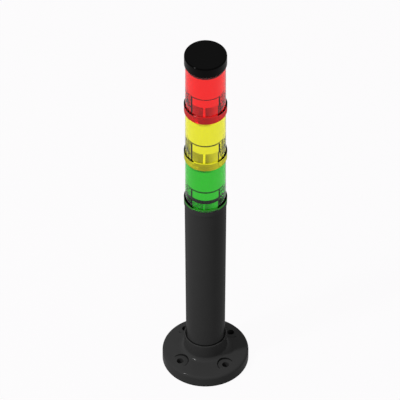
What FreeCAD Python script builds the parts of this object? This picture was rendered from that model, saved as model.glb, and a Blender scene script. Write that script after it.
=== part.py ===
import FreeCAD, Part
import os
import re

import Sketcher

# Stack light with three light modules on a tube with a round foot, in millimetres.
# +Z is up, and the origin is the middle of the foot's underside.
# Each light module has heights of its own, measured from the underside of its collar.

# A size given as text follows from the sizes that it names.
SIZES = {
    # foot
    "foot_d": (80.0, "flange of the foot"),
    "foot_t": (11.1, "height of the flange at its rim"),
    "foot_crown": (3.3, "rise of the flange from its rim to the boss"),
    "foot_edge_r": (2.8, "round of the flange's top edge"),
    "foot_wall": (3.4, "rim of the flange, seen from below"),
    "foot_roof": (5.0, "top plate of the flange"),
    "rib_t": (2.0, "ribs under the flange"),
    "pillar_d": (14.0, "pillars round the fixing holes"),
    "gasket_t": (1.5, "foam gasket, let into the underside"),
    "gasket_lip": (1.2, "rim left outside the gasket"),
    "gasket_gap": (0.1, "clearance round the gasket"),
    "bolt_circle_d": (60.0, "circle of the fixing holes"),
    "bolt_hole_d": (6.5, "fixing holes for M6"),
    "bolt_face_d": (15.4, "spot faces of the fixing holes"),
    "bolt_face_t": (2.0, "depth of the spot faces below the foot of the boss"),
    "boss_d": (39.3, "socket boss"),
    "boss_top": (31.5, "top of the socket boss above the floor"),
    "boss_root_r": (4.5, "fillet where the boss meets the flange"),
    "boss_edge_r": (0.5, "round of the boss's top edge"),
    "socket_floor": (8.0, "floor that the pole stands on"),
    "socket_gap": (0.6, "clearance of the pole in its socket"),
    "recess_d": (33.0, "recess for the screw heads"),
    "recess_top": (4.0, "top of that recess"),
    "cable_d": (16.0, "cable hole through foot and pole"),
    # pole
    "pole_low_d": (36.1, "pole where it leaves the boss"),
    "pole_high_d": ("collar_low_d - 2 * shoulder_step", "pole under the green module"),
    "shoulder_step": (0.55, "step in from the collar to the pole under it"),
    "pole_top": (202.8, "underside of the green module's collar"),
    "pole_wall": (2.4, "wall of the pole"),
    "pole_floor": (4.0, "floor of the pole"),
    "pole_seal_t": (0.8, "seal under the pole"),
    "head_t": (3.2, "plate of the head that closes the pole"),
    "head_bore_d": (21.6, "bore of that head"),
    "head_gap": (0.15, "clearance of the head in the pole"),
    "screw_circle_d": (24.6, "circle of the pole's screws"),
    "screw_d": (3.4, "shank of the pole's screws"),
    "screw_head_d": (7.0, "head of the pole's screws"),
    "screw_head_t": (2.4, "height of the head"),
    "screw_socket_d": (3.2, "drive socket in the head"),
    "screw_reach": (9.0, "depth of the screws in the pole's bosses"),
    "screw_boss_d": (7.0, "screw bosses on the pole's floor"),
    "screw_boss_t": (9.0, "height of those bosses"),
    "screw_gap": (0.05, "clearance of a screw in its pilot hole"),
    # light modules
    "pitch": (60.3, "height that one module adds"),
    "lens_d": ("collar_low_d - 2 * collar_step", "coloured lens"),
    "collar_step": (1.15, "step out from the lens to the collar's underside"),
    "lens_wall": (2.0, "wall of the lens"),
    "collar_d": (40.1, "collar of the lens"),
    "collar_low_d": (39.8, "collar at its underside"),
    "collar_top": (8.7, "top of the collar"),
    "collar_edge_r": (0.35, "round of the collar's edges"),
    "shoulder_gap": (0.15, "gap between a collar and the shoulder under it"),
    "neck_d": (25.5, "neck that a module turns on"),
    "neck_gap": (0.35, "clearance between a neck and the lens bore"),
    "seat_top": (29.1, "seat of the light sleeve in the lens"),
    "neck_ring_low": (12.9, "underside of the lock ring"),
    "neck_ring_top": (17.2, "top of the lock ring"),
    "ring_wall": (1.5, "wall of the lock ring"),
    "ring_gap": (0.05, "clearance of the lock ring on its neck"),
    "neck_bore_d": (19.6, "bore of the neck above the contact plate's ledge"),
    "ledge_bore_d": (17.2, "bore of the neck below that ledge"),
    "ledge_top": (11.0, "ledge that carries the contact plate"),
    "plug_depth": (4.5, "plug that closes the lens from above"),
    "plug_gap": (0.25, "clearance of the plug in the lens"),
    # bayonet
    "lug_out": (2.0, "how far a lug stands out of the neck"),
    "lug_sweep": (22.0, "angle that a lug covers"),
    "lug_low": (13.3, "underside of a lug"),
    "lug_top": (16.3, "top of a lug"),
    "slot_gap": (0.4, "clearance of a lug in its slot"),
    "slot_play": (2.0, "angle left free beside a lug"),
    "unlock_turn": (30.0, "turn that frees a module"),
    "lug_start": (-5.0, "angle at which the first lug starts"),
    # inside a module
    "stem_wall": (1.7, "wall of the sleeve's stem"),
    "sleeve_gap": (0.45, "clearance between sleeve and lens"),
    "sleeve_wall": (1.7, "wall of the light sleeve"),
    "sleeve_step": (1.8, "plate between sleeve and stem"),
    "inner_gap": (0.15, "clearance of the pieces stacked inside"),
    "stem_gap": (0.3, "clearance between the stem and the neck under it"),
    "pin_block_t": (2.8, "pin block"),
    "pin_d": (1.6, "spring pins"),
    "pin_circle_d": (11.0, "circle of the spring pins"),
    "plate_t": (2.0, "contact plate"),
    "board_w": (15.0, "board"),
    "board_t": (1.6, "thickness of the board"),
    "led_w": (3.5, "side of an LED"),
    "led_t": (1.1, "height of an LED"),
    "led_step": (6.2, "step between LEDs"),
    "led_first": (33.0, "middle of the lowest LED"),
    # terminals in the pole
    "spigot_top": (3.6, "top of the head's spigot, which carries the first neck"),
    "base_plug_depth": (6.8, "depth of the first neck's plug below the shoulder"),
    "base_plug_gap": (0.2, "clearance of the base neck in the pole"),
    "terminal_w": (25.0, "terminal block, across"),
    "terminal_t": (15.0, "terminal block, front to back"),
    "terminal_l": (20.0, "terminal block, up and down"),
    "terminal_step": (4.6, "step between terminals"),
    "terminal_screw_d": (3.2, "terminal screws"),
    "terminal_screw_t": (2.0, "length of a terminal screw in the block"),
    "terminal_proud": (0.6, "how far a terminal screw stands out"),
    "wire_hole_d": (2.6, "wire entries"),
    "wire_hole_t": (9.0, "depth of the wire entries"),
    # end cap
    "cap_d": (39.7, "end cap"),
    "cap_t": (10.9, "height of the end cap"),
    "cap_edge_r": (1.3, "round of the cap's top edge"),
    "cap_low_r": (0.4, "round of the cap's bottom edge"),
    "cap_wall": (2.2, "wall of the cap"),
    "cap_seal_w": (1.0, "section of the cap's seal"),
    "cap_seal_low": (3.2, "depth of that seal below the cap"),
}

DOC = FreeCAD.newDocument("stack_light")
SHEET = DOC.addObject("Spreadsheet::Sheet", "Sizes")
for row, (word, (value, note)) in enumerate(SIZES.items(), 1):
    SHEET.set(f"A{row}", word)
    SHEET.set(f"C{row}", note)
    SHEET.setAlias(f"B{row}", word)
for row, (value, note) in enumerate(SIZES.values(), 1):
    SHEET.set(f"B{row}", f"={value}")
DOC.recompute()

NODES = []


def sized(text):
    """The expression in text, with the name of each size pointed at the sheet."""
    return re.sub(r"[a-z]+(_[a-z]+)*", lambda m: "Sizes." + m[0] if m[0] in SIZES else m[0], text)


def worth(text):
    """The number that an expression gives now."""
    return float(SHEET.evalExpression(sized(text)))


def bind(thing, **expressions):
    """Ties properties of a feature to the sheet, such as Height="foot_t" or x="pitch"."""
    for name, text in expressions.items():
        path = f"Placement.Base.{name}" if name in ("x", "y", "z") else name
        thing.setExpression(path, sized(text))


def node(thing, name, lift="0"):
    """Makes a finished object a sub-part with a name of its own, raised by lift."""
    thing.Label = name
    if lift != "0":
        bind(thing, z=lift)
    NODES.append(thing)
    return thing


def origin_of(body, role):
    """A plane or axis of the body's own origin."""
    return next(f for f in body.Origin.OriginFeatures if f.Role == role)


def pin_point(sketch, line, kind, text):
    """Holds the start of a line at a distance from the sketch's origin."""
    if text == "0":
        axis = -2 if kind == "DistanceX" else -1
        sketch.addConstraint(Sketcher.Constraint("PointOnObject", line, 1, axis))
        return
    held = sketch.addConstraint(Sketcher.Constraint(kind, -1, 1, line, 1, worth(text)))
    sketch.setExpression(f"Constraints[{held}]", sized(text))


def outline(body, plane, points):
    """A closed sketch of straight lines through points, each given as two expressions."""
    sketch = body.newObject("Sketcher::SketchObject", body.Name + "_outline")
    sketch.AttachmentSupport = [(origin_of(body, plane), "")]
    sketch.MapMode = "FlatFace"
    spots = [FreeCAD.Vector(worth(across), worth(up), 0) for across, up in points]
    count = len(spots)
    for line in range(count):
        sketch.addGeometry(Part.LineSegment(spots[line], spots[(line + 1) % count]))
    for line in range(count):
        sketch.addConstraint(Sketcher.Constraint("Coincident", line, 2, (line + 1) % count, 1))
    for line, (across, up) in enumerate(points):
        pin_point(sketch, line, "DistanceX", across)
        pin_point(sketch, line, "DistanceY", up)
    return sketch


def turned(name, points):
    """A body turned about Z from its half section, given as (radius, height) pairs."""
    body = DOC.addObject("PartDesign::Body", name)
    sketch = outline(body, "XZ_Plane", points)
    turn = body.newObject("PartDesign::Revolution", name + "_turn")
    turn.Profile = (sketch, [""])
    turn.ReferenceAxis = (sketch, ["V_Axis"])
    turn.Angle = 360
    DOC.recompute()
    return body


def drum(body, adds, radius, low, high, across="0", turn="0", sweep="360"):
    """Adds a round or sector-shaped block to the body, or takes it away."""
    kind = "PartDesign::AdditiveCylinder" if adds else "PartDesign::SubtractiveCylinder"
    block = body.newObject(kind, body.Name + "_drum")
    if turn != "0":
        block.Placement = FreeCAD.Placement(
            FreeCAD.Vector(), FreeCAD.Rotation(FreeCAD.Vector(0, 0, 1), worth(turn))
        )
        block.setExpression("Placement.Rotation.Angle", sized(turn))
    bind(block, Radius=radius, Height=f"({high}) - ({low})", Angle=sweep, z=low)
    if across != "0":
        bind(block, x=f"({across}) * cos(({turn}) * 1 deg)", y=f"({across}) * sin(({turn}) * 1 deg)")
    DOC.recompute()
    return block


def repeat(body, features, count):
    """Repeats features about Z."""
    pattern = body.newObject("PartDesign::PolarPattern", body.Name + "_pattern")
    pattern.Originals = features
    pattern.Axis = (origin_of(body, "Z_Axis"), [""])
    pattern.Angle = 360
    pattern.Occurrences = count
    body.Tip = pattern
    DOC.recompute()
    return pattern


def round_edges(body, radius, places):
    """Rounds the full circles of the body's last feature that lie at the given (radius, height)."""
    feature = body.Tip
    wanted = [(worth(across), worth(up)) for across, up in places]
    found = []
    for number, edge in enumerate(feature.Shape.Edges, 1):
        if not isinstance(edge.Curve, Part.Circle):
            continue
        spot = (edge.Curve.Radius, edge.Curve.Center.z)
        if any(abs(spot[0] - a) < 1e-4 and abs(spot[1] - b) < 1e-4 for a, b in wanted):
            found.append(f"Edge{number}")
    fillet = body.newObject("PartDesign::Fillet", body.Name + "_round")
    fillet.Base = (feature, found)
    bind(fillet, Radius=radius)
    body.Tip = fillet
    DOC.recompute()
    return fillet


def box(name, width, depth, height, x, y, z):
    """A block centred on x and y that starts at height z."""
    block = DOC.addObject("Part::Box", name)
    bind(block, Length=width, Width=depth, Height=height)
    bind(block, x=f"({x}) - ({width}) / 2", y=f"({y}) - ({depth}) / 2", z=z)
    return block


def rod(name, radius, height, x, y, z):
    """An upright round rod that starts at height z."""
    bar = DOC.addObject("Part::Cylinder", name)
    bind(bar, Radius=radius, Height=height, x=x, y=y, z=z)
    return bar


def joined(kind, name, pieces):
    """A group of separate solids, or several solids fused into one."""
    group = DOC.addObject(kind, name)
    if kind == "Part::Compound":
        group.Links = pieces
    else:
        group.Shapes = pieces
    return group


# Foot: one moulding, hollow and ribbed below, with the socket for the pole.
def make_foot():
    rim = "foot_d / 2"
    hollow_top = "foot_t - foot_roof"
    crown = "foot_t + foot_crown"
    body = turned(
        "foot_flange",
        [
            ("recess_d / 2", "gasket_t"),
            ("boss_d / 2", "gasket_t"),
            ("boss_d / 2", hollow_top),
            (f"{rim} - foot_wall", hollow_top),
            (f"{rim} - foot_wall", "gasket_t"),
            (f"{rim} - gasket_lip", "gasket_t"),
            (f"{rim} - gasket_lip", "0"),
            (rim, "0"),
            (rim, "foot_t"),
            ("boss_d / 2", crown),
            ("boss_d / 2", "boss_top"),
            ("pole_low_d / 2 + socket_gap", "boss_top"),
            ("pole_low_d / 2 + socket_gap", "socket_floor"),
            ("cable_d / 2", "socket_floor"),
            ("cable_d / 2", "recess_top"),
            ("recess_d / 2", "recess_top"),
        ],
    )
    round_edges(body, "foot_edge_r", [(rim, "foot_t")])
    round_edges(body, "boss_root_r", [("boss_d / 2", crown)])
    round_edges(body, "boss_edge_r", [("boss_d / 2", "boss_top")])
    pillar = drum(body, True, "pillar_d / 2", "gasket_t", hollow_top, "bolt_circle_d / 2", "45")
    repeat(body, [pillar], 4)
    rib = body.newObject("PartDesign::AdditiveBox", "foot_rib")
    bind(
        rib,
        Length=f"{rim} - foot_wall / 2 - (boss_d + recess_d) / 4",
        Width="rib_t",
        Height=f"{hollow_top} - gasket_t",
        x="(boss_d + recess_d) / 4",
        y="-rib_t / 2",
        z="gasket_t",
    )
    DOC.recompute()
    repeat(body, [rib], 4)
    hole = drum(body, False, "bolt_hole_d / 2", "0", crown, "bolt_circle_d / 2", "45")
    repeat(body, [hole], 4)
    face = drum(
        body, False, "bolt_face_d / 2", f"{crown} - bolt_face_t", "boss_top", "bolt_circle_d / 2", "45"
    )
    repeat(body, [face], 4)
    screw = drum(
        body, False, "screw_d / 2 + screw_gap", "recess_top", "socket_floor", "screw_circle_d / 2", "90"
    )
    repeat(body, [screw], 3)
    return node(body, "foot_flange")


# Gasket: a foam disc let into the underside, open in the middle and at the fixing holes.
def make_gasket():
    outer = "foot_d / 2 - gasket_lip - gasket_gap"
    body = turned(
        "foot_gasket",
        [("recess_d / 2", "0"), (outer, "0"), (outer, "gasket_t"), ("recess_d / 2", "gasket_t")],
    )
    hole = drum(
        body, False, "bolt_hole_d / 2 + gasket_gap", "0", "gasket_t", "bolt_circle_d / 2", "45"
    )
    repeat(body, [hole], 4)
    return node(body, "foot_gasket")


# Seal: a flat rubber ring between the pole and the floor of its socket.
def make_pole_seal():
    inner = "screw_circle_d / 2 + screw_d / 2 + 4 * screw_gap"
    body = turned(
        "pole_seal",
        [
            (inner, "socket_floor"),
            ("pole_low_d / 2", "socket_floor"),
            ("pole_low_d / 2", "socket_floor + pole_seal_t"),
            (inner, "socket_floor + pole_seal_t"),
        ],
    )
    return node(body, "pole_seal")


# Pole: a drafted tube with a floor and three screw bosses.
def make_pole():
    foot = "socket_floor + pole_seal_t"
    floor = f"{foot} + pole_floor"
    shoulder = "pole_top - shoulder_gap"
    body = turned(
        "pole_tube",
        [
            ("cable_d / 2", foot),
            ("pole_low_d / 2", foot),
            ("pole_low_d / 2", "boss_top"),
            ("pole_high_d / 2", shoulder),
            ("pole_high_d / 2 - pole_wall", shoulder),
            ("pole_low_d / 2 - pole_wall", "boss_top"),
            ("pole_low_d / 2 - pole_wall", floor),
            ("cable_d / 2", floor),
        ],
    )
    boss = drum(
        body, True, "screw_boss_d / 2", f"{floor} - pole_floor / 2", f"{floor} + screw_boss_t",
        "screw_circle_d / 2", "90",
    )
    repeat(body, [boss], 3)
    pilot = drum(
        body, False, "screw_d / 2 + screw_gap", foot, f"{foot} + screw_reach + 1",
        "screw_circle_d / 2", "90",
    )
    repeat(body, [pilot], 3)
    return node(body, "pole_tube")


# Head: closes the top of the pole, level with its rim. Its spigot carries the first neck.
def make_head():
    edge = "pole_high_d / 2 - pole_wall - head_gap"
    shoulder = "pole_top - shoulder_gap"
    body = turned(
        "pole_head",
        [
            ("head_bore_d / 2", f"{shoulder} - head_t"),
            (edge, f"{shoulder} - head_t"),
            (edge, shoulder),
            ("neck_d / 2", shoulder),
            ("neck_d / 2", "pole_top + spigot_top"),
            ("head_bore_d / 2", "pole_top + spigot_top"),
        ],
    )
    return node(body, "pole_head")


# Screws: three alike, put in from below through the floor of the socket.
def make_pole_screws():
    screws = []
    for number in range(3):
        name = f"pole_screw_{number + 1}"
        head = "recess_top - screw_head_t"
        body = turned(
            name,
            [
                ("0", f"{head} + screw_head_t / 2"),
                ("screw_socket_d / 2", f"{head} + screw_head_t / 2"),
                ("screw_socket_d / 2", head),
                ("screw_head_d / 2", head),
                ("screw_head_d / 2", "recess_top"),
                ("screw_d / 2", "recess_top"),
                ("screw_d / 2", "socket_floor + pole_seal_t + screw_reach"),
                ("0", "socket_floor + pole_seal_t + screw_reach"),
            ],
        )
        angle = 90 + 120 * number
        bind(body, x=f"screw_circle_d / 2 * cos({angle} deg)", y=f"screw_circle_d / 2 * sin({angle} deg)")
        screws.append(body)
    return node(joined("Part::Compound", "pole_screws", screws), "pole_screws")


# Neck: what a module turns on, with a ledge inside for the contact plate. The one on the pole
# is plugged into the pole's head, and the others close the top of the lens below.
def make_neck(name, plug_low, plug_radius, plug_top, lift):
    slim = "neck_d / 2 - ring_wall"
    body = turned(
        name,
        [
            ("ledge_bore_d / 2", plug_low),
            (plug_radius, plug_low),
            (plug_radius, plug_top),
            ("neck_d / 2", plug_top),
            ("neck_d / 2", "neck_ring_low"),
            (slim, "neck_ring_low"),
            (slim, "neck_ring_top"),
            ("neck_bore_d / 2", "neck_ring_top"),
            ("neck_bore_d / 2", "ledge_top"),
            ("ledge_bore_d / 2", "ledge_top"),
        ],
    )
    return node(body, name, lift)


# Lock ring: pressed on the neck, with the two lugs of the bayonet.
def make_lock_ring(name, lift):
    body = turned(
        name,
        [
            ("0", "neck_ring_low"),
            ("neck_d / 2", "neck_ring_low"),
            ("neck_d / 2", "neck_ring_top"),
            ("0", "neck_ring_top"),
        ],
    )
    lug = drum(
        body, True, "neck_d / 2 + lug_out", "lug_low", "lug_top", turn="lug_start", sweep="lug_sweep"
    )
    repeat(body, [lug], 2)
    drum(body, False, "neck_d / 2 - ring_wall + ring_gap", "neck_ring_low", "neck_ring_top")
    return node(body, name, lift)


# Contact plate: a round board on the ledge of a neck.
def make_contact_plate(name, lift):
    edge = "neck_bore_d / 2 - inner_gap"
    top = "ledge_top + plate_t"
    body = turned(name, [("0", "ledge_top"), (edge, "ledge_top"), (edge, top), ("0", top)])
    return node(body, name, lift)


# Lens: coloured and transparent. Its thick lower ring turns on the neck and has the L-shaped
# slots of the bayonet. Lugs enter from below, then the module turns by unlock_turn.
def make_lens(name, lift):
    bore = "neck_d / 2 + neck_gap"
    inner = "lens_d / 2 - lens_wall"
    top = "pitch - shoulder_gap"
    body = turned(
        name,
        [
            (bore, "0"),
            ("collar_low_d / 2", "0"),
            ("collar_d / 2", "collar_top"),
            ("lens_d / 2", "collar_top"),
            ("lens_d / 2", top),
            (inner, top),
            (inner, "seat_top"),
            (bore, "seat_top"),
        ],
    )
    round_edges(
        body, "collar_edge_r", [("collar_low_d / 2", "0"), ("collar_d / 2", "collar_top")]
    )
    reach = "neck_d / 2 + lug_out + slot_gap"
    wide = "lug_sweep + 2 * slot_play"
    free = "lug_start - slot_play - unlock_turn"
    ceiling = "lug_top + slot_gap"
    track = drum(
        body, False, reach, "lug_low - slot_gap", ceiling, turn=free, sweep=f"{wide} + unlock_turn"
    )
    entry = drum(body, False, reach, "0", ceiling, turn=free, sweep=wide)
    repeat(body, [track, entry], 2)
    return node(body, name, lift)


# Light sleeve: white and translucent, with a stem that stands in the bore over the neck.
def make_sleeve(name, lift):
    outer = "lens_d / 2 - lens_wall - sleeve_gap"
    stem = "neck_d / 2"
    low = "neck_ring_top + stem_gap"
    top = "pitch - plug_depth - inner_gap"
    body = turned(
        name,
        [
            (f"{stem} - stem_wall", low),
            (stem, low),
            (stem, "seat_top"),
            (outer, "seat_top"),
            (outer, top),
            (f"{outer} - sleeve_wall", top),
            (f"{outer} - sleeve_wall", "seat_top + sleeve_step"),
            (f"{stem} - stem_wall", "seat_top + sleeve_step"),
        ],
    )
    return node(body, name, lift)


# Pin block: an insulating disc in the stem, which holds the spring pins and the board.
def make_pin_block(name, lift):
    edge = "neck_d / 2 - stem_wall - inner_gap"
    low = "neck_ring_top + stem_gap"
    top = f"{low} + pin_block_t"
    body = turned(name, [("0", low), (edge, low), (edge, top), ("0", top)])
    return node(body, name, lift)


# Spring pins: five that reach down to the contact plate.
def make_pins(name, lift):
    low = "ledge_top + plate_t + inner_gap"
    pins = []
    for number in range(5):
        angle = 54 * number - 18
        x = f"pin_circle_d / 2 * cos({angle} deg)"
        y = f"pin_circle_d / 2 * sin({angle} deg)"
        height = f"neck_ring_top + stem_gap - ({low})"
        pins.append(rod(f"{name}_{number + 1}", "pin_d / 2", height, x, y, low))
    return node(joined("Part::Compound", name, pins), name, lift)


# Board: upright, from the pin block to the contact plate above it, or to the cap.
def make_board(name, top, lift):
    low = "neck_ring_top + stem_gap + pin_block_t"
    board = box(name, "board_w", "board_t", f"{top} - ({low})", "0", "0", f"{lift} + {low}")
    return node(board, name)


# LEDs: three on each face of the board.
def make_leds(name, lift):
    leds = []
    for number in range(3):
        for side in (-1, 1):
            y = f"{side} * (board_t + led_t) / 2"
            z = f"led_first + {number} * led_step - led_w / 2"
            leds.append(box(f"{name}_{len(leds) + 1}", "led_w", "led_t", "led_w", "0", y, z))
    return node(joined("Part::Compound", name, leds), name, lift)


# Terminal block: hangs under the neck in the pole, where the cable is wired.
def make_terminals(lift):
    top = "-base_plug_depth"
    low = "-base_plug_depth - terminal_l"
    block = box("terminal_case", "terminal_w", "terminal_t", "terminal_l", "0", "0", low)
    riser = rod(
        "terminal_riser", "ledge_bore_d / 2 - inner_gap", f"ledge_top - ({top})", "0", "0", top
    )
    wire_holes = []
    screw_holes = []
    screws = []
    for number in range(-2, 3):
        x = f"{number} * terminal_step"
        wire_holes.append(rod("wire_hole", "wire_hole_d / 2", "wire_hole_t", x, "0", low))
        middle = f"{low} + terminal_l / 2"
        for group, name, radius, out in (
            (screw_holes, "screw_hole", "terminal_screw_d / 2", "0"),
            (screws, "terminal_screw", "terminal_screw_d / 2", "terminal_proud"),
        ):
            screw = rod(name, radius, f"terminal_screw_t + {out}", x, f"-terminal_t / 2 - {out}", middle)
            screw.Placement.Rotation = FreeCAD.Rotation(FreeCAD.Vector(1, 0, 0), -90)
            group.append(screw)
    solid = joined("Part::MultiFuse", "terminal_solid", [block, riser])
    holes = joined("Part::MultiFuse", "terminal_holes", wire_holes + screw_holes)
    cut = DOC.addObject("Part::Cut", "terminal_block")
    cut.Base = solid
    cut.Tool = holes
    node(cut, "terminal_block", lift)
    node(joined("Part::Compound", "terminal_screws", screws), "terminal_screws", lift)


# End cap: a black lid with a plug that snaps into the top of the red lens.
def make_cap(lift):
    low = "-shoulder_gap"
    top = "cap_t - shoulder_gap"
    plug = "lens_d / 2 - lens_wall - plug_gap"
    groove = f"{plug} - cap_seal_w"
    groove_low = "-cap_seal_low"
    groove_top = "cap_seal_w - cap_seal_low"
    inner = f"{plug} - cap_wall"
    body = turned(
        "end_cap",
        [
            (inner, "-plug_depth"),
            (plug, "-plug_depth"),
            (plug, groove_low),
            (groove, groove_low),
            (groove, groove_top),
            (plug, groove_top),
            (plug, low),
            ("cap_d / 2", low),
            ("cap_d / 2", top),
            ("0", top),
            ("0", f"{top} - cap_wall"),
            (inner, f"{top} - cap_wall"),
        ],
    )
    round_edges(body, "cap_edge_r", [("cap_d / 2", top)])
    round_edges(body, "cap_low_r", [("cap_d / 2", low)])
    node(body, "end_cap", lift)
    seal = turned(
        "cap_seal",
        [
            (groove, groove_low),
            (plug + " + plug_gap / 2", groove_low),
            (plug + " + plug_gap / 2", groove_top),
            (groove, groove_top),
        ],
    )
    node(seal, "cap_seal", lift)


make_foot()
make_gasket()
make_pole_seal()
make_pole()
make_head()
make_pole_screws()
make_neck(
    "neck_base", "-base_plug_depth", "head_bore_d / 2 - base_plug_gap", "spigot_top", "pole_top"
)
make_lock_ring("lock_ring_base", "pole_top")
make_contact_plate("contact_plate_base", "pole_top")
make_terminals("pole_top")
TIERS = ("green", "yellow", "red")
for tier, colour in enumerate(TIERS):
    base = f"pole_top + {tier} * pitch"
    above = f"pole_top + {tier + 1} * pitch"
    last = tier == len(TIERS) - 1
    make_lens(f"lens_{colour}", base)
    make_sleeve(f"light_sleeve_{colour}", base)
    make_pin_block(f"pin_block_{colour}", base)
    make_pins(f"contact_pins_{colour}", base)
    make_board(f"led_board_{colour}", "pitch" if last else "pitch + ledge_top", base)
    make_leds(f"leds_{colour}", base)
    if last:
        make_cap(above)
        continue
    plug = "lens_d / 2 - lens_wall - plug_gap"
    make_neck(f"neck_{colour}", "-plug_depth", plug, "-shoulder_gap", above)
    make_lock_ring(f"lock_ring_{colour}", above)
    make_contact_plate(f"contact_plate_{colour}", above)

DOC.recompute()
for thing in DOC.Objects:
    if "Invalid" in thing.State or "Error" in thing.State:
        raise RuntimeError(f"{thing.Label} did not build: {thing.State}")
for thing in NODES:
    if thing.Shape.isNull() or not thing.Shape.isValid():
        raise RuntimeError(f"{thing.Label} has no valid shape")

os.makedirs("parts", exist_ok=True)
for thing in NODES:
    thing.Shape.exportStep(f"parts/{thing.Label}.step")
    print(f"{thing.Label}: {len(thing.Shape.Solids)} solids, {thing.Shape.Volume / 1000:.2f} cm3")
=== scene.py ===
import math
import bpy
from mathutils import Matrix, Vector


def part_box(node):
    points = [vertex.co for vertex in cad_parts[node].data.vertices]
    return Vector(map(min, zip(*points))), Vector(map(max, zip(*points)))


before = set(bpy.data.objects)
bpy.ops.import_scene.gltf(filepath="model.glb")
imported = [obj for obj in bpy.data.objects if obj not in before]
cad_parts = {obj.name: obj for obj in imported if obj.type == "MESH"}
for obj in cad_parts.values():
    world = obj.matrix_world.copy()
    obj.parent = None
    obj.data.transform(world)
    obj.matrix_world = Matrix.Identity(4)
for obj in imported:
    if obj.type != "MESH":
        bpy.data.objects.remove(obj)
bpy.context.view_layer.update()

from types import SimpleNamespace

import bpy
from mathutils import Vector

# Camera: a very long lens far away, so that the tower's sides stay parallel.
# It looks down at the tower from the front, a little from its right.
AZIMUTH = math.radians(6.5)
ELEVATION = math.radians(45.2)
SEEN_WIDTH = 0.3691
HALF_ANGLE = math.radians(0.65)
AIM_HEIGHT = 0.2058
AIM_LEFT = 0.0051
SENSOR_WIDTH = 36
FARTHEST_SEEN = 60
right = Vector((math.cos(AZIMUTH), math.sin(AZIMUTH), 0))
away = Vector((-math.sin(AZIMUTH), math.cos(AZIMUTH), 0))
up = Vector((0, 0, 1))
towards_camera = up * math.sin(ELEVATION) - away * math.cos(ELEVATION)
optics = bpy.data.cameras.new("camera")
camera = bpy.data.objects.new("camera", optics)
bpy.context.collection.objects.link(camera)
optics.sensor_width = SENSOR_WIDTH
optics.lens = SENSOR_WIDTH / 2 / math.tan(HALF_ANGLE)
optics.clip_end = FARTHEST_SEEN
distance = SEEN_WIDTH / 2 / math.tan(HALF_ANGLE)
camera.location = up * AIM_HEIGHT - right * AIM_LEFT + towards_camera * distance
camera.rotation_euler = towards_camera.to_track_quat("Z", "Y").to_euler()
bpy.context.scene.camera = camera

# Studio: soft white surroundings, and one soft lamp high on the left in front.
# Camera, mirror and glass rays see plain white, and the surroundings light the tower evenly.
AMBIENT = 0.5
BACKDROP = 0.976
LAMP_POWER = 20
LAMP_DISTANCE = 1.6
LAMP_SIZE = 0.2
LAMP_UP = 0.755
LAMP_LEFT = 0.571
LAMP_NEAR = 0.321
WHITE = (1, 1, 1, 1)


def linked(tree, node_type, operation, *sources):
    node = tree.nodes.new(node_type)
    if operation:
        node.operation = operation
    for number, source in enumerate(sources):
        if isinstance(source, bpy.types.NodeSocket):
            tree.links.new(source, node.inputs[number])
        else:
            node.inputs[number].default_value = source
    return node


def maths(tree, operation, *sources):
    return linked(tree, "ShaderNodeMath", operation, *sources).outputs[0]


def all_of(tree, mask, *others):
    # masks are 0 or 1 from place to place, and a plain number thins them
    for other in others:
        mask = maths(tree, "MULTIPLY", mask, other)
    return mask


def any_of(tree, mask, *others):
    for other in others:
        mask = maths(tree, "MAXIMUM", mask, other)
    return mask


def faded(tree, value, low, high, start, end):
    return linked(tree, "ShaderNodeMapRange", None, value, low, high, start, end).outputs[0]


def seen_plainly(tree):
    path = tree.nodes.new("ShaderNodeLightPath")
    rays = ("Is Camera Ray", "Is Glossy Ray", "Is Transmission Ray")
    return any_of(tree, *(path.outputs[ray] for ray in rays))


lamp_data = bpy.data.lights.new("key_lamp", "AREA")
lamp_data.shape = "DISK"
lamp_data.size = LAMP_SIZE
lamp_data.energy = LAMP_POWER
lamp = bpy.data.objects.new("key_lamp", lamp_data)
bpy.context.collection.objects.link(lamp)
towards_lamp = (up * LAMP_UP - right * LAMP_LEFT - away * LAMP_NEAR).normalized()
lamp.location = up * AIM_HEIGHT + towards_lamp * LAMP_DISTANCE
lamp.rotation_euler = towards_lamp.to_track_quat("Z", "Y").to_euler()
world = bpy.data.worlds.new("studio")
bpy.context.scene.world = world
world.use_nodes = True
tree = world.node_tree
background = tree.nodes["Background"]
background.inputs["Color"].default_value = WHITE
strength = faded(tree, seen_plainly(tree), 0.0, 1.0, AMBIENT, BACKDROP)
tree.links.new(strength, background.inputs["Strength"])
bpy.context.scene.view_settings.view_transform = "Standard"

# Floor: a wide pale matt table top under the foot. Seen plainly it is almost as white as the
# surroundings, and keeps only a trace of the tower's soft shadow.
FLOOR_RADIUS = 9.0
FLOOR_SIDES = 96
FLOOR_MATT = 0.9
FLOOR_SHINE = 0.1
FLOOR_COLOUR = (0.45, 0.45, 0.45, 1)
FLOOR_SEEN = (0.9, 0.895, 0.9, 1)
FLOOR_TINT = 0.992
FLOOR_GLOW = (BACKDROP, FLOOR_TINT * BACKDROP, BACKDROP, 1)
SHADOW_SHARE = 0.02


def mixed(tree, share, first, second):
    # inputs 6 and 7 and output 2 are the ones that carry colours
    mix = tree.nodes.new("ShaderNodeMix")
    mix.data_type = "RGBA"
    tree.links.new(share, mix.inputs["Factor"])
    for socket, colour in ((mix.inputs[6], first), (mix.inputs[7], second)):
        if isinstance(colour, bpy.types.NodeSocket):
            tree.links.new(colour, socket)
        else:
            socket.default_value = colour
    return mix.outputs[2]


def layered(tree, share, under, over):
    return linked(tree, "ShaderNodeMixShader", None, share, under, over).outputs[0]


def glowing(tree, colour):
    return linked(tree, "ShaderNodeEmission", None, colour).outputs[0]


def surface(tree, shader):
    tree.links.new(shader, tree.nodes["Material Output"].inputs["Surface"])


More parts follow.
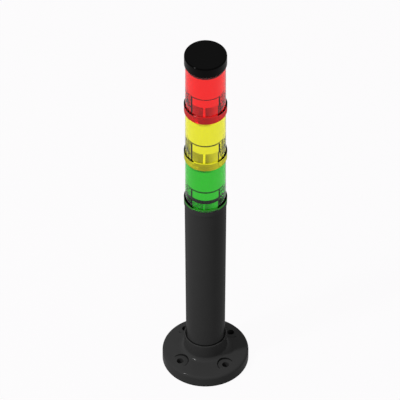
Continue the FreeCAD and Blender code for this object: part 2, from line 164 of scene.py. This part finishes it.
bpy.ops.object.select_all(action="DESELECT")
bpy.ops.mesh.primitive_circle_add(vertices=FLOOR_SIDES, radius=FLOOR_RADIUS, fill_type="NGON")
floor = bpy.context.object
floor.name = "floor"
paint = bpy.data.materials.new("floor_paint")
paint.use_nodes = True
tree = paint.node_tree
matt = tree.nodes["Principled BSDF"]
matt.inputs["Roughness"].default_value = FLOOR_MATT
matt.inputs["Specular IOR Level"].default_value = FLOOR_SHINE
seen = seen_plainly(tree)
tree.links.new(mixed(tree, seen, FLOOR_COLOUR, FLOOR_SEEN), matt.inputs["Base Color"])
share = all_of(tree, seen, 1 - SHADOW_SHARE)
surface(tree, layered(tree, share, matt.outputs[0], glowing(tree, FLOOR_GLOW)))
floor.data.materials.append(paint)

# Foot: black moulded plastic with a fine spark-eroded grain and slightly uneven gloss. The
# walls of the bolt holes' spot faces and its lowest edge are painted dark as shade, and its boss
# is shinier.
FOOT_BLACK = (0.034, 0.034, 0.034)
FOOT_ROUGH = 0.5
FOOT_GLOSS = 0.18
FOOT_COAT_ROUGH = 0.12
SHADOW_BLACK = (0.012, 0.012, 0.012, 1)
BOLT_PLACE = 0.0212
SPOT_WALL = (0.0070, 0.0079)
SPOT_INNER = 0.0315
FOOT_EDGE = 0.0011
BOSS_ZONE = (0.0187, 0.0245)
BOSS_GLOSS = 0.16
COAT_ROUGH = 0.2
COAT_IOR = 1.22
CLOUD_SCALE = 60
CLOUD_DETAIL = 3
ROUGH_SPREAD = 0.06
TINT_SPREAD = 0.07
GRAIN_SCALE = 2600
GRAIN_HEIGHT = 0.00004
RELIEF = 0.3


def noise(tree, place, scale, detail=2):
    texture = tree.nodes.new("ShaderNodeTexNoise")
    texture.inputs["Scale"].default_value = scale
    texture.inputs["Detail"].default_value = detail
    tree.links.new(place, texture.inputs["Vector"])
    return texture.outputs["Fac"]


def bumped(tree, pattern, height, *shaders):
    bump = tree.nodes.new("ShaderNodeBump")
    bump.inputs["Strength"].default_value = RELIEF
    bump.inputs["Distance"].default_value = height
    tree.links.new(pattern, bump.inputs["Height"])
    for shader in shaders:
        tree.links.new(bump.outputs["Normal"], shader.inputs["Normal"])


def coated(shader, gloss, roughness=COAT_ROUGH):
    shader.inputs["Specular IOR Level"].default_value = 0.0
    shader.inputs["Coat Weight"].default_value = gloss
    shader.inputs["Coat Roughness"].default_value = roughness
    shader.inputs["Coat IOR"].default_value = COAT_IOR


def shaded(colour, level):
    return (*(c * level for c in colour), 1)


def moulded(name, colour, roughness, gloss, grain=GRAIN_HEIGHT):
    material = bpy.data.materials.new(name)
    material.use_nodes = True
    tree = material.node_tree
    shader = tree.nodes["Principled BSDF"]
    coated(shader, gloss)
    shader.inputs["Emission Color"].default_value = WHITE
    place = tree.nodes.new("ShaderNodeTexCoord").outputs["Object"]
    cloud = noise(tree, place, CLOUD_SCALE, CLOUD_DETAIL)
    uneven = faded(tree, cloud, 0.0, 1.0, roughness - ROUGH_SPREAD, roughness + ROUGH_SPREAD)
    tree.links.new(uneven, shader.inputs["Roughness"])
    tint = mixed(tree, cloud, shaded(colour, 1 - TINT_SPREAD), shaded(colour, 1 + TINT_SPREAD))
    tree.links.new(tint, shader.inputs["Base Color"])
    bumped(tree, noise(tree, place, GRAIN_SCALE), grain, shader)
    return material, tree, shader


def repainted(tree, shader, mask, colour):
    tint = shader.inputs["Base Color"].links[0].from_socket
    tree.links.new(mixed(tree, mask, tint, colour), shader.inputs["Base Color"])


def above(tree, value, limit):
    return maths(tree, "GREATER_THAN", value, limit)


def below(tree, value, limit):
    return maths(tree, "LESS_THAN", value, limit)


def between(tree, value, low, high):
    return maths(tree, "COMPARE", value, (low + high) / 2, (high - low) / 2)


def flattened(tree, place):
    return linked(tree, "ShaderNodeVectorMath", "MULTIPLY", place, (1, 1, 0)).outputs[0]


def places_of(tree):
    place = tree.nodes.new("ShaderNodeTexCoord").outputs["Object"]
    flat = flattened(tree, place)
    radius = linked(tree, "ShaderNodeVectorMath", "LENGTH", flat).outputs["Value"]
    x, y, z = linked(tree, "ShaderNodeSeparateXYZ", None, place).outputs
    return SimpleNamespace(place=place, radius=radius, x=x, y=y, z=z)


def finish_of(node, material):
    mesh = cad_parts[node].data
    mesh.materials.clear()
    mesh.materials.append(material)


material, tree, shader = moulded("foot_black", FOOT_BLACK, FOOT_ROUGH, FOOT_GLOSS)
shader.inputs["Coat Roughness"].default_value = FOOT_COAT_ROUGH
at = places_of(tree)
corner = linked(tree, "ShaderNodeVectorMath", "ABSOLUTE", at.place).outputs[0]
hole = (BOLT_PLACE, BOLT_PLACE, 0)
from_hole = linked(tree, "ShaderNodeVectorMath", "DISTANCE", flattened(tree, corner), hole)
spot_wall = between(tree, from_hole.outputs["Value"], *SPOT_WALL)
spot_wall = all_of(tree, spot_wall, below(tree, at.radius, SPOT_INNER))
# painted shade: shadow black on the spot faces' walls and on the lowest edge
repainted(tree, shader, any_of(tree, spot_wall, below(tree, at.z, FOOT_EDGE)), SHADOW_BLACK)
boss = between(tree, at.radius, *BOSS_ZONE)
gloss = maths(tree, "MULTIPLY_ADD", boss, BOSS_GLOSS, FOOT_GLOSS)
tree.links.new(gloss, shader.inputs["Coat Weight"])
finish_of("foot_flange", material)

# Seals: a foam disc let into the foot's underside, a flat rubber ring under the pole, and a
# ring in the groove of the cap's plug. All three are black and matt.
RUBBER_BLACK = (0.012, 0.012, 0.012)
RUBBER_ROUGH = 0.8
RUBBER_GLOSS = 0.2
rubber = moulded("rubber_black", RUBBER_BLACK, RUBBER_ROUGH, RUBBER_GLOSS)[0]
for node in ("foot_gasket", "pole_seal", "cap_seal"):
    finish_of(node, rubber)

# Pole: black moulded tube that stands in the boss of the foot, held by screws from below.
# It is painted darker as shade where it leaves the boss and where its sides turn away.
POLE_BLACK = (0.0325, 0.0325, 0.0325)
POLE_ROUGH = 0.5
POLE_GLOSS = 0.18
POLE_ROOT = 0.001
POLE_SIDE = 0.74
EVEN_BLEND = 0.5


def turned_away(tree):
    # 0 where the surface faces the viewer, 1 where it is seen edge-on
    return linked(tree, "ShaderNodeLayerWeight", None, EVEN_BLEND).outputs["Facing"]


material, tree, shader = moulded("pole_black", POLE_BLACK, POLE_ROUGH, POLE_GLOSS)
# painted shade: shadow black at the root in the boss and on the sides seen edge-on
root = below(tree, places_of(tree).z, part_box("foot_flange")[1].z + POLE_ROOT)
side = above(tree, turned_away(tree), POLE_SIDE)
repainted(tree, shader, any_of(tree, root, side), SHADOW_BLACK)
finish_of("pole_tube", material)

# Screws and spring pins: zinc-plated steel screws and gilt brass pins. Their plating is
# slightly uneven, with fine marks from turning.
TIERS = ("green", "yellow", "red")
ZINC = (0.62, 0.62, 0.6)
GILT = (0.83, 0.62, 0.25)
BLANK_ROUGH = 0.3
BLANK_GRAIN = 0.00002
PLATING_ROUGH = (0.22, 0.38)
TURNING_SCALE = 4000


def plated(name, colour):
    material, tree, shader = moulded(name, colour, BLANK_ROUGH, 0.0, BLANK_GRAIN)
    shader.inputs["Metallic"].default_value = 1.0
    turning = noise(tree, places_of(tree).place, TURNING_SCALE)
    tree.links.new(faded(tree, turning, 0.0, 1.0, *PLATING_ROUGH), shader.inputs["Roughness"])
    return material


zinc = plated("zinc_plated", ZINC)
for node in ("pole_screws", "terminal_screws"):
    finish_of(node, zinc)
gilt = plated("gilt_brass", GILT)
for tier in TIERS:
    finish_of(f"contact_pins_{tier}", gilt)

# Terminal block and pin blocks: slate grey moulded insulators. The terminal block hangs in
# the pole with its wire screws, and each pin block holds spring pins and a board above them.
SLATE = (0.12, 0.125, 0.13)
SLATE_ROUGH = 0.5
SLATE_GLOSS = 0.3
slate = moulded("terminal_grey", SLATE, SLATE_ROUGH, SLATE_GLOSS)[0]
finish_of("terminal_block", slate)
for tier in TIERS:
    finish_of(f"pin_block_{tier}", slate)

# Boards and lamps: white lacquered circuit boards and contact plates, and small white lamps
# soldered on both faces of each board, which stay lit.
BOARD_WHITE = (0.6, 0.62, 0.6)
BOARD_ROUGH = 0.4
BOARD_GLOSS = 0.4
LAMP_WHITE = (0.5, 0.5, 0.5)
LAMP_ROUGH = 0.5
LAMP_GLOSS = 0.1
LAMP_GLOW = 0.48
board = moulded("board_white", BOARD_WHITE, BOARD_ROUGH, BOARD_GLOSS)[0]
for node in ("contact_plate_base", "contact_plate_green", "contact_plate_yellow"):
    finish_of(node, board)
lit, tree, shader = moulded("led_white", LAMP_WHITE, LAMP_ROUGH, LAMP_GLOSS)
shader.inputs["Emission Strength"].default_value = LAMP_GLOW
for tier in TIERS:
    finish_of(f"led_board_{tier}", board)
    finish_of(f"leds_{tier}", lit)

# Head of the pole: black moulding that closes the pole, level with its rim. Its spigot
# carries the first neck, and the upper end of the spigot is painted white as painted light.
HEAD_BLACK = (0.03, 0.03, 0.03)
HEAD_ROUGH = 0.5
HEAD_GLOSS = 0.3
HEAD_WHITE_T = 0.0012
PALE_WHITE = (0.9, 0.9, 0.9, 1)
material, tree, shader = moulded("head_black", HEAD_BLACK, HEAD_ROUGH, HEAD_GLOSS)
# painted light: a white band painted on the spigot's upper end, which shows through the green lens
spigot_end = above(tree, places_of(tree).z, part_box("pole_head")[1].z - HEAD_WHITE_T)
repainted(tree, shader, spigot_end, PALE_WHITE)
finish_of("pole_head", material)

# Necks and lock rings: grey mouldings with a white index rib in front, which also glows as
# painted light, a flange painted white as painted light, and painted light growing towards the
# right. The base's neck is paler, and its pressed-on ring is black.
BASE_GREY = (0.88, 0.88, 0.88)
NECK_GREY = (0.42, 0.42, 0.42)
NECK_ROUGH = 0.5
NECK_GLOSS = 0.3
NECK_R = 0.0132
RIB_X = (-0.0005, 0.0013)
RIB_GLOW = 0.27
SIDE_FADE = (0.002, 0.0095)
SIDE_GLOW = 0.42
RIB_LOW = 0.005
RING_BLACK = (0.008, 0.008, 0.008)
RING_ROUGH = 0.5
RING_GLOSS = 0.1


def neck_plastic(name, grey, rib_low):
    material, tree, shader = moulded(name, grey, NECK_ROUGH, NECK_GLOSS)
    at = places_of(tree)
    stripe = all_of(tree, between(tree, at.x, *RIB_X), below(tree, at.y, 0.0))
    rib = all_of(tree, stripe, above(tree, at.z, rib_low))
    # the rib is white; the flange outside NECK_R is painted white as painted light
    repainted(tree, shader, any_of(tree, rib, above(tree, at.radius, NECK_R)), PALE_WHITE)
    # painted light: a glow that grows towards the right, and a glow on the rib
    side = faded(tree, at.x, *SIDE_FADE, 0.0, SIDE_GLOW)
    glow = any_of(tree, all_of(tree, rib, RIB_GLOW), side)
    tree.links.new(glow, shader.inputs["Emission Strength"])
    return material


for lower, upper in zip(("base", *TIERS), TIERS):
    grey = BASE_GREY if lower == "base" else NECK_GREY
    rib_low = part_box(f"lens_{upper}")[0].z + RIB_LOW
    material = neck_plastic(f"neck_{lower}_grey", grey, rib_low)
    finish_of(f"neck_{lower}", material)
    if lower == "base":
        material = moulded("ring_black", RING_BLACK, RING_ROUGH, RING_GLOSS)[0]
    finish_of(f"lock_ring_{lower}", material)

# Light sleeves: white diffusers that glow evenly with painted light, though they are no lamps.
# Each one stands on a seat in its lens, and its lowest edge has painted shade and no glow.
SLEEVE_WHITE = (0.08, 0.08, 0.08)
SLEEVE_ROUGH = 0.5
SLEEVE_GLOSS = 0.02
SLEEVE_GLOW = {"green": 0.73, "yellow": 0.76, "red": 0.85}
SLEEVE_FOOT_Z = 0.0291
SLEEVE_FOOT_H = {"green": 0.0012, "yellow": 0.0012, "red": 0.0007}
SLEEVE_FOOT_DARK = (0.04, 0.04, 0.04, 1)
for tier, glow in SLEEVE_GLOW.items():
    material, tree, shader = moulded(f"sleeve_{tier}", SLEEVE_WHITE, SLEEVE_ROUGH, SLEEVE_GLOSS)
    foot_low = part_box(f"lens_{tier}")[0].z + SLEEVE_FOOT_Z
    foot = between(tree, places_of(tree).z, foot_low, foot_low + SLEEVE_FOOT_H[tier])
    # painted shade: the lowest edge of the sleeve is painted dark
    repainted(tree, shader, foot, SLEEVE_FOOT_DARK)
    # painted light: the rest of the sleeve glows, though it is no lamp
    lit_wall = maths(tree, "MULTIPLY_ADD", foot, -glow, glow)
    tree.links.new(lit_wall, shader.inputs["Emission Strength"])
    finish_of(f"light_sleeve_{tier}", material)

# Lenses: clear polycarbonate, coloured through, with polished faces that keep a slight wave
# from moulding. Each turns on the neck beneath by its collar, the thick ring at its foot.
LENS_COLOURS = {
    "green": (0.028, 0.60, 0.024),
    "yellow": (0.93, 0.90, 0.02),
    "red": (0.98, 0.011, 0.011),
}
LENS_IOR = 1.5
POLISH = (0.012, 0.028)
FLOW_SCALE = 250
FLOW_HEIGHT = 0.00001


def clear_plastic(tree, colour, place):
    mirroring = tree.nodes["Principled BSDF"]
    mirroring.inputs["Base Color"].default_value = (*colour, 1)
    mirroring.inputs["Transmission Weight"].default_value = 1.0
    through = tree.nodes.new("ShaderNodeBsdfRefraction")
    through.inputs["Color"].default_value = (*(math.sqrt(c) for c in colour), 1)
    flow = noise(tree, place, FLOW_SCALE)
    polish = faded(tree, flow, 0.0, 1.0, *POLISH)
    bumped(tree, flow, FLOW_HEIGHT, mirroring, through)
    for shader in (mirroring, through):
        shader.inputs["IOR"].default_value = LENS_IOR
        tree.links.new(polish, shader.inputs["Roughness"])
    return mirroring.outputs[0], through.outputs[0]


# Bore and slots of the lens: left as moulded, so they mirror less light than the polished
# faces. One stripe of the green bore mirrors none, and shows the lock ring behind it.
MIRROR_SHARE = 0.55
BORE_R = 0.0134
BORE_LOW = 0.005
BORE_MIRROR = {"green": 0.5, "yellow": 0.35, "red": 0.45}
EDGE_GLINT = (0.266, 0.285)
COLLAR_MIRROR = 0.75
SLOT_R = 0.0156
SLOT_Z = (0.0005, 0.017)
SLOT_MIRROR = 0.5
RING_Z = (0.0127, 0.0172)


def at_height(tree, at, heights):
    low, high = heights
    return between(tree, at.z, at.bottom + low, at.bottom + high)


def upper_bore(tree, at):
    return all_of(tree, below(tree, at.radius, BORE_R), above(tree, at.z, at.bottom + BORE_LOW))


def unmirrored(tree, tier, at):
    faces = maths(tree, "MULTIPLY_ADD", at.back, MIRROR_SHARE - 1, 1 - MIRROR_SHARE)
    lost = 1 - BORE_MIRROR[tier]
    glint = between(tree, turned_away(tree), *EDGE_GLINT)
    bore = all_of(tree, upper_bore(tree, at), maths(tree, "MULTIPLY_ADD", glint, -lost, lost))
    low_bore = all_of(tree, below(tree, at.radius, BORE_R), 1 - COLLAR_MIRROR)
    slot = all_of(tree, between(tree, at.radius, BORE_R, SLOT_R), at_height(tree, at, SLOT_Z))
    share = any_of(tree, faces, bore, low_bore, all_of(tree, slot, 1 - SLOT_MIRROR))
    if tier == "green":
        ring = all_of(tree, at_height(tree, at, RING_Z), upper_bore(tree, at))
        share = any_of(tree, share, ring)
    return share


# Painted dark lines on the lens: painted shade along the flank of the bore, a painted shadow at
# the gap of the underside, and on the green wall the two sides of the black lock ring, painted
# widened as the plastic shows them.
LINE_BLACK = (0.003, 0.003, 0.003, 1)
EDGE_LINE = (0.232, 0.266)
GAP_R = {"green": 0, "yellow": 0.016, "red": 0.016}
GAP_H = 0.0002
WALL_R = 0.0184
RING_SIDE_Z = (0.012, 0.0175)
RING_FACING = (0.47, 0.69)
RING_SHARE = 0.6


def dark_lines(tree, tier, at):
    facing = turned_away(tree)
    flank = all_of(tree, upper_bore(tree, at), between(tree, facing, *EDGE_LINE))
    gap = all_of(tree, above(tree, at.radius, GAP_R[tier]), below(tree, at.z, at.bottom + GAP_H))
    lines = any_of(tree, flank, all_of(tree, gap, below(tree, facing, EDGE_LINE[1])))
    if tier == "green":
        ring = all_of(tree, at_height(tree, at, RING_SIDE_Z), above(tree, at.radius, WALL_R))
        ring = all_of(tree, ring, between(tree, facing, *RING_FACING), RING_SHARE)
        lines = any_of(tree, lines, ring)
    return lines


# Ledge of the lens: the top of the collar, round the narrower wall. It has painted light in
# front and painted shade at its sides, where the green collar has a strip of painted light above
# its black band.
LEDGE_R = 0.0188
LEDGE_LOW = 0.0084
LEDGE_DARK = 0.42
LEDGE_SHARE = 0.8
LEDGE_GLOW = {
    "green": (0.031, 0.25, 0.023, 1),
    "yellow": (0.68, 0.66, 0.03, 1),
    "red": (0.55, 0.03, 0.03, 1),
}
BAND_R = 0.0192
BAND_TOP = 0.0061
STRIP_SHARE = 0.7


def at_sides(tree, at):
    spoke = linked(tree, "ShaderNodeVectorMath", "NORMALIZE", flattened(tree, at.place))
    turned = linked(tree, "ShaderNodeVectorTransform", None, spoke.outputs[0])
    turned.vector_type = "NORMAL"
    turned.convert_from = "OBJECT"
    turned.convert_to = "WORLD"
    weight = linked(tree, "ShaderNodeLayerWeight", None, EVEN_BLEND, turned.outputs[0])
    return above(tree, weight.outputs["Facing"], LEDGE_DARK)


def ledge_shares(tree, tier, at):
    sides = at_sides(tree, at)
    step = above(tree, at.z, at.bottom + LEDGE_LOW)
    ledge = all_of(tree, above(tree, at.radius, LEDGE_R), step)
    dark = all_of(tree, ledge, sides)
    lit = all_of(tree, maths(tree, "SUBTRACT", ledge, dark), LEDGE_SHARE)
    if tier == "green":
        strip = all_of(tree, at_height(tree, at, (BAND_TOP, LEDGE_LOW)), sides)
        strip = all_of(tree, strip, above(tree, at.radius, BAND_R), STRIP_SHARE)
        lit = any_of(tree, lit, strip)
    return lit, dark


# Outside of the collars: the green one has a black band round its lower part. The yellow
# and the red one glow with painted light, most of it at their sides.
BAND_LOW = -0.001
BAND_BLACK = (0.035, 0.035, 0.035, 1)
BAND_GLOSS = 0.2
COLLAR_MIDDLE = {"yellow": (0.19, 0.178, 0.017, 1), "red": (0.2, 0.015, 0.015, 1)}
COLLAR_SIDES = {"yellow": (0.41, 0.39, 0.022, 1), "red": (0.48, 0.024, 0.024, 1)}
COLLAR_FADE = (0.12, 0.43)
COLLAR_HIGH = 0.008
COLLAR_SHARE = 0.75


def black_band(tree, at):
    paint = tree.nodes.new("ShaderNodeBsdfPrincipled")
    paint.inputs["Base Color"].default_value = BAND_BLACK
    coated(paint, BAND_GLOSS)
    collar = at_height(tree, at, (BAND_LOW, BAND_TOP))
    return all_of(tree, collar, above(tree, at.radius, BAND_R)), paint.outputs[0]


def lit_collar(tree, tier, at):
    # painted light: a glow dimmer in the middle and brighter at the sides
    fade = faded(tree, turned_away(tree), *COLLAR_FADE, 0.0, 1.0)
    tone = mixed(tree, fade, COLLAR_MIDDLE[tier], COLLAR_SIDES[tier])
    collar = all_of(tree, at_height(tree, at, (BAND_LOW, COLLAR_HIGH)), above(tree, at.radius, BAND_R))
    front = maths(tree, "MULTIPLY_ADD", at.back, -COLLAR_SHARE, COLLAR_SHARE)
    return all_of(tree, collar, front), glowing(tree, tone)


# The three lenses: one plastic in three colours. Lamp light that falls on a lens passes
# through it in its colour, and reaches the sleeve and the neck inside.
LAMP_SHARE = 0.12


def lens_plastic(tier, colour):
    material = bpy.data.materials.new(f"lens_{tier}_clear")
    material.use_nodes = True
    tree = material.node_tree
    at = places_of(tree)
    at.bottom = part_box(f"lens_{tier}")[0].z
    at.back = tree.nodes.new("ShaderNodeNewGeometry").outputs["Backfacing"]
    mirroring, through = clear_plastic(tree, colour, at.place)
    skin = layered(tree, unmirrored(tree, tier, at), mirroring, through)
    # painted light on the ledge in front and on the green strip; painted shade on the ledge's sides
    lit_ledge, dark_ledge = ledge_shares(tree, tier, at)
    skin = layered(tree, lit_ledge, skin, glowing(tree, LEDGE_GLOW[tier]))
    # painted shade: the dark lines and the ledge's sides are a black paint on the lens
    painted_shade = linked(tree, "ShaderNodeBsdfDiffuse", None, LINE_BLACK).outputs[0]
    skin = layered(tree, any_of(tree, dark_lines(tree, tier, at), dark_ledge), skin, painted_shade)
    # the green collar gets its black band, the yellow and red ones painted light
    collar, band_or_painted_light = black_band(tree, at) if tier == "green" else lit_collar(tree, tier, at)
    skin = layered(tree, collar, skin, band_or_painted_light)
    lamp_tint = (*(math.sqrt(c * LAMP_SHARE) for c in colour), 1)
    clear = linked(tree, "ShaderNodeBsdfTransparent", None, lamp_tint).outputs[0]
    shadow_ray = tree.nodes.new("ShaderNodeLightPath").outputs["Is Shadow Ray"]
    surface(tree, layered(tree, shadow_ray, skin, clear))
    return material


for tier, colour in LENS_COLOURS.items():
    finish_of(f"lens_{tier}", lens_plastic(tier, colour))

# End cap: deep black moulding whose plug snaps into the top of the red lens. The rim round
# its upper face is darker and smoother than the rest.
CAP_BLACK = (0.0004, 0.0004, 0.0004)
CAP_ROUGH = 0.35
CAP_GLOSS = 0.38
CAP_RIM = 0.0009
RIM_BLACK = (0.0003, 0.0003, 0.0003, 1)
RIM_GLOSS = 0.25
RIM_COAT_ROUGH = 0.08
material, tree, shader = moulded("cap_black", CAP_BLACK, CAP_ROUGH, CAP_GLOSS)
at = places_of(tree)
cap_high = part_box("end_cap")[1]
edge = above(tree, at.radius, cap_high.x - CAP_RIM)
rim = all_of(tree, above(tree, at.z, cap_high.z - CAP_RIM), edge)
smooth = tree.nodes.new("ShaderNodeBsdfPrincipled")
smooth.inputs["Base Color"].default_value = RIM_BLACK
coated(smooth, RIM_GLOSS, RIM_COAT_ROUGH)
surface(tree, layered(tree, rim, shader.outputs[0], smooth.outputs[0]))
finish_of("end_cap", material)
